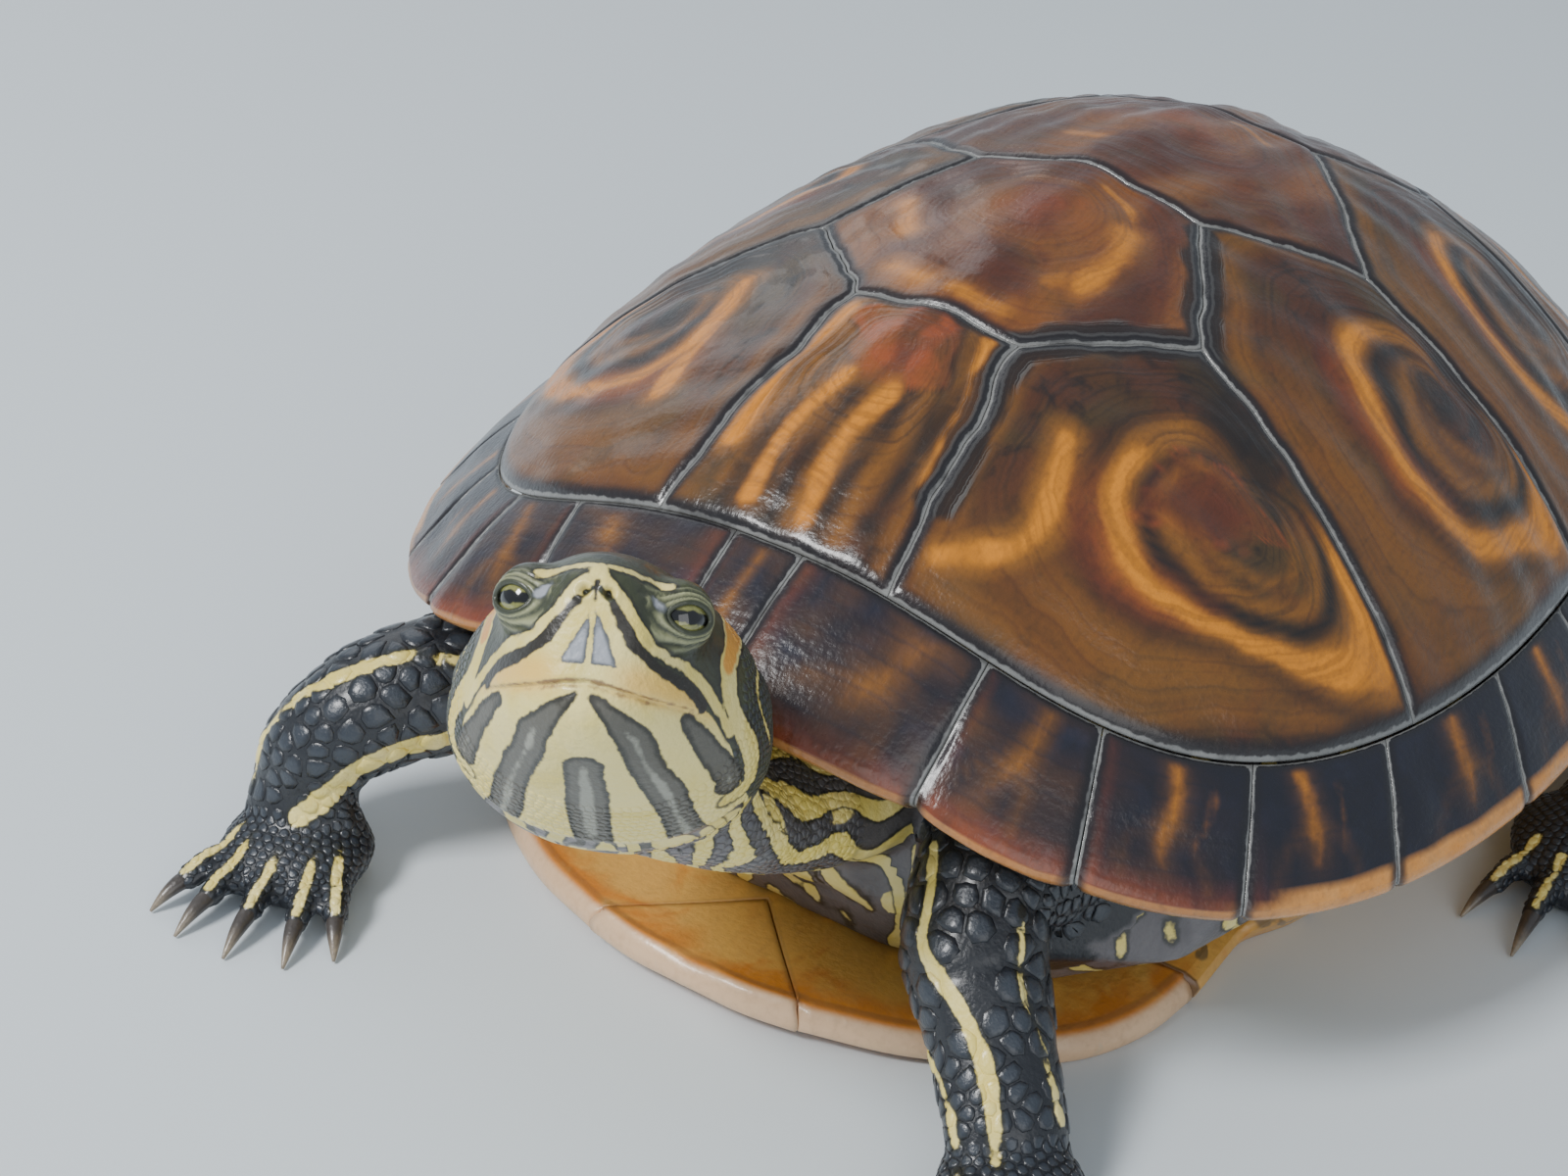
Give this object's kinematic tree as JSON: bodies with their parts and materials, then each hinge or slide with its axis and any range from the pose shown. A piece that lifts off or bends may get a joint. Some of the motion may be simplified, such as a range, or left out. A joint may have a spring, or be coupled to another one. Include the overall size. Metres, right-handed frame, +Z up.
{
  "type": "slider turtle",
  "caption": "Life-size still model of a pond slider turtle resting on its plastron and feet, head raised and turned to its left, plated shell and striped skin.",
  "frame": {"origin": "on the flat underside of the plastron, on the midline, where the turtle rests on the floor, 100 mm behind the carapace's front rim", "axes": "-Y towards the turtle's front, +X towards its left side, +Z up from the floor"},
  "size_m": [0.2053, 0.2481, 0.0806],
  "materials": {
    "carapace": "glossy dark brown horn with orange bands",
    "plastron": "satin yellow-orange horn",
    "skin": "scaled dark olive skin with yellow stripes",
    "eye": "wet gloss, yellow-green"
  },
  "bodies": {
    "root": {"nuchal": "carapace", "vertebral_1": "carapace", "vertebral_2": "carapace", "vertebral_3": "carapace", "vertebral_4": "carapace", "vertebral_5": "carapace", "costal_left_1": "carapace", "costal_left_2": "carapace", "costal_left_3": "carapace", "costal_left_4": "carapace", "costal_right_1": "carapace", "costal_right_2": "carapace", "costal_right_3": "carapace", "costal_right_4": "carapace", "marginal_left_1": "carapace", "marginal_left_2": "carapace", "marginal_left_3": "carapace", "marginal_left_4": "carapace", "marginal_left_5": "carapace", "marginal_left_6": "carapace", "marginal_left_7": "carapace", "marginal_left_8": "carapace", "marginal_left_9": "carapace", "marginal_left_10": "carapace", "marginal_left_11": "carapace", "marginal_left_12": "carapace", "marginal_right_1": "carapace", "marginal_right_2": "carapace", "marginal_right_3": "carapace", "marginal_right_4": "carapace", "marginal_right_5": "carapace", "marginal_right_6": "carapace", "marginal_right_7": "carapace", "marginal_right_8": "carapace", "marginal_right_9": "carapace", "marginal_right_10": "carapace", "marginal_right_11": "carapace", "marginal_right_12": "carapace", "plastron_gular": "plastron", "plastron_humeral": "plastron", "plastron_pectoral": "plastron", "plastron_abdominal": "plastron", "plastron_femoral": "plastron", "plastron_anal": "plastron", "trunk": "skin", "neck": "skin", "head": "skin", "lower_jaw": "skin", "tail": "skin", "foreleg_left": "skin", "foreleg_right": "skin", "hindleg_left": "skin", "hindleg_right": "skin", "eye_left": "eye", "eye_right": "eye"}
  },
  "joints": []
}
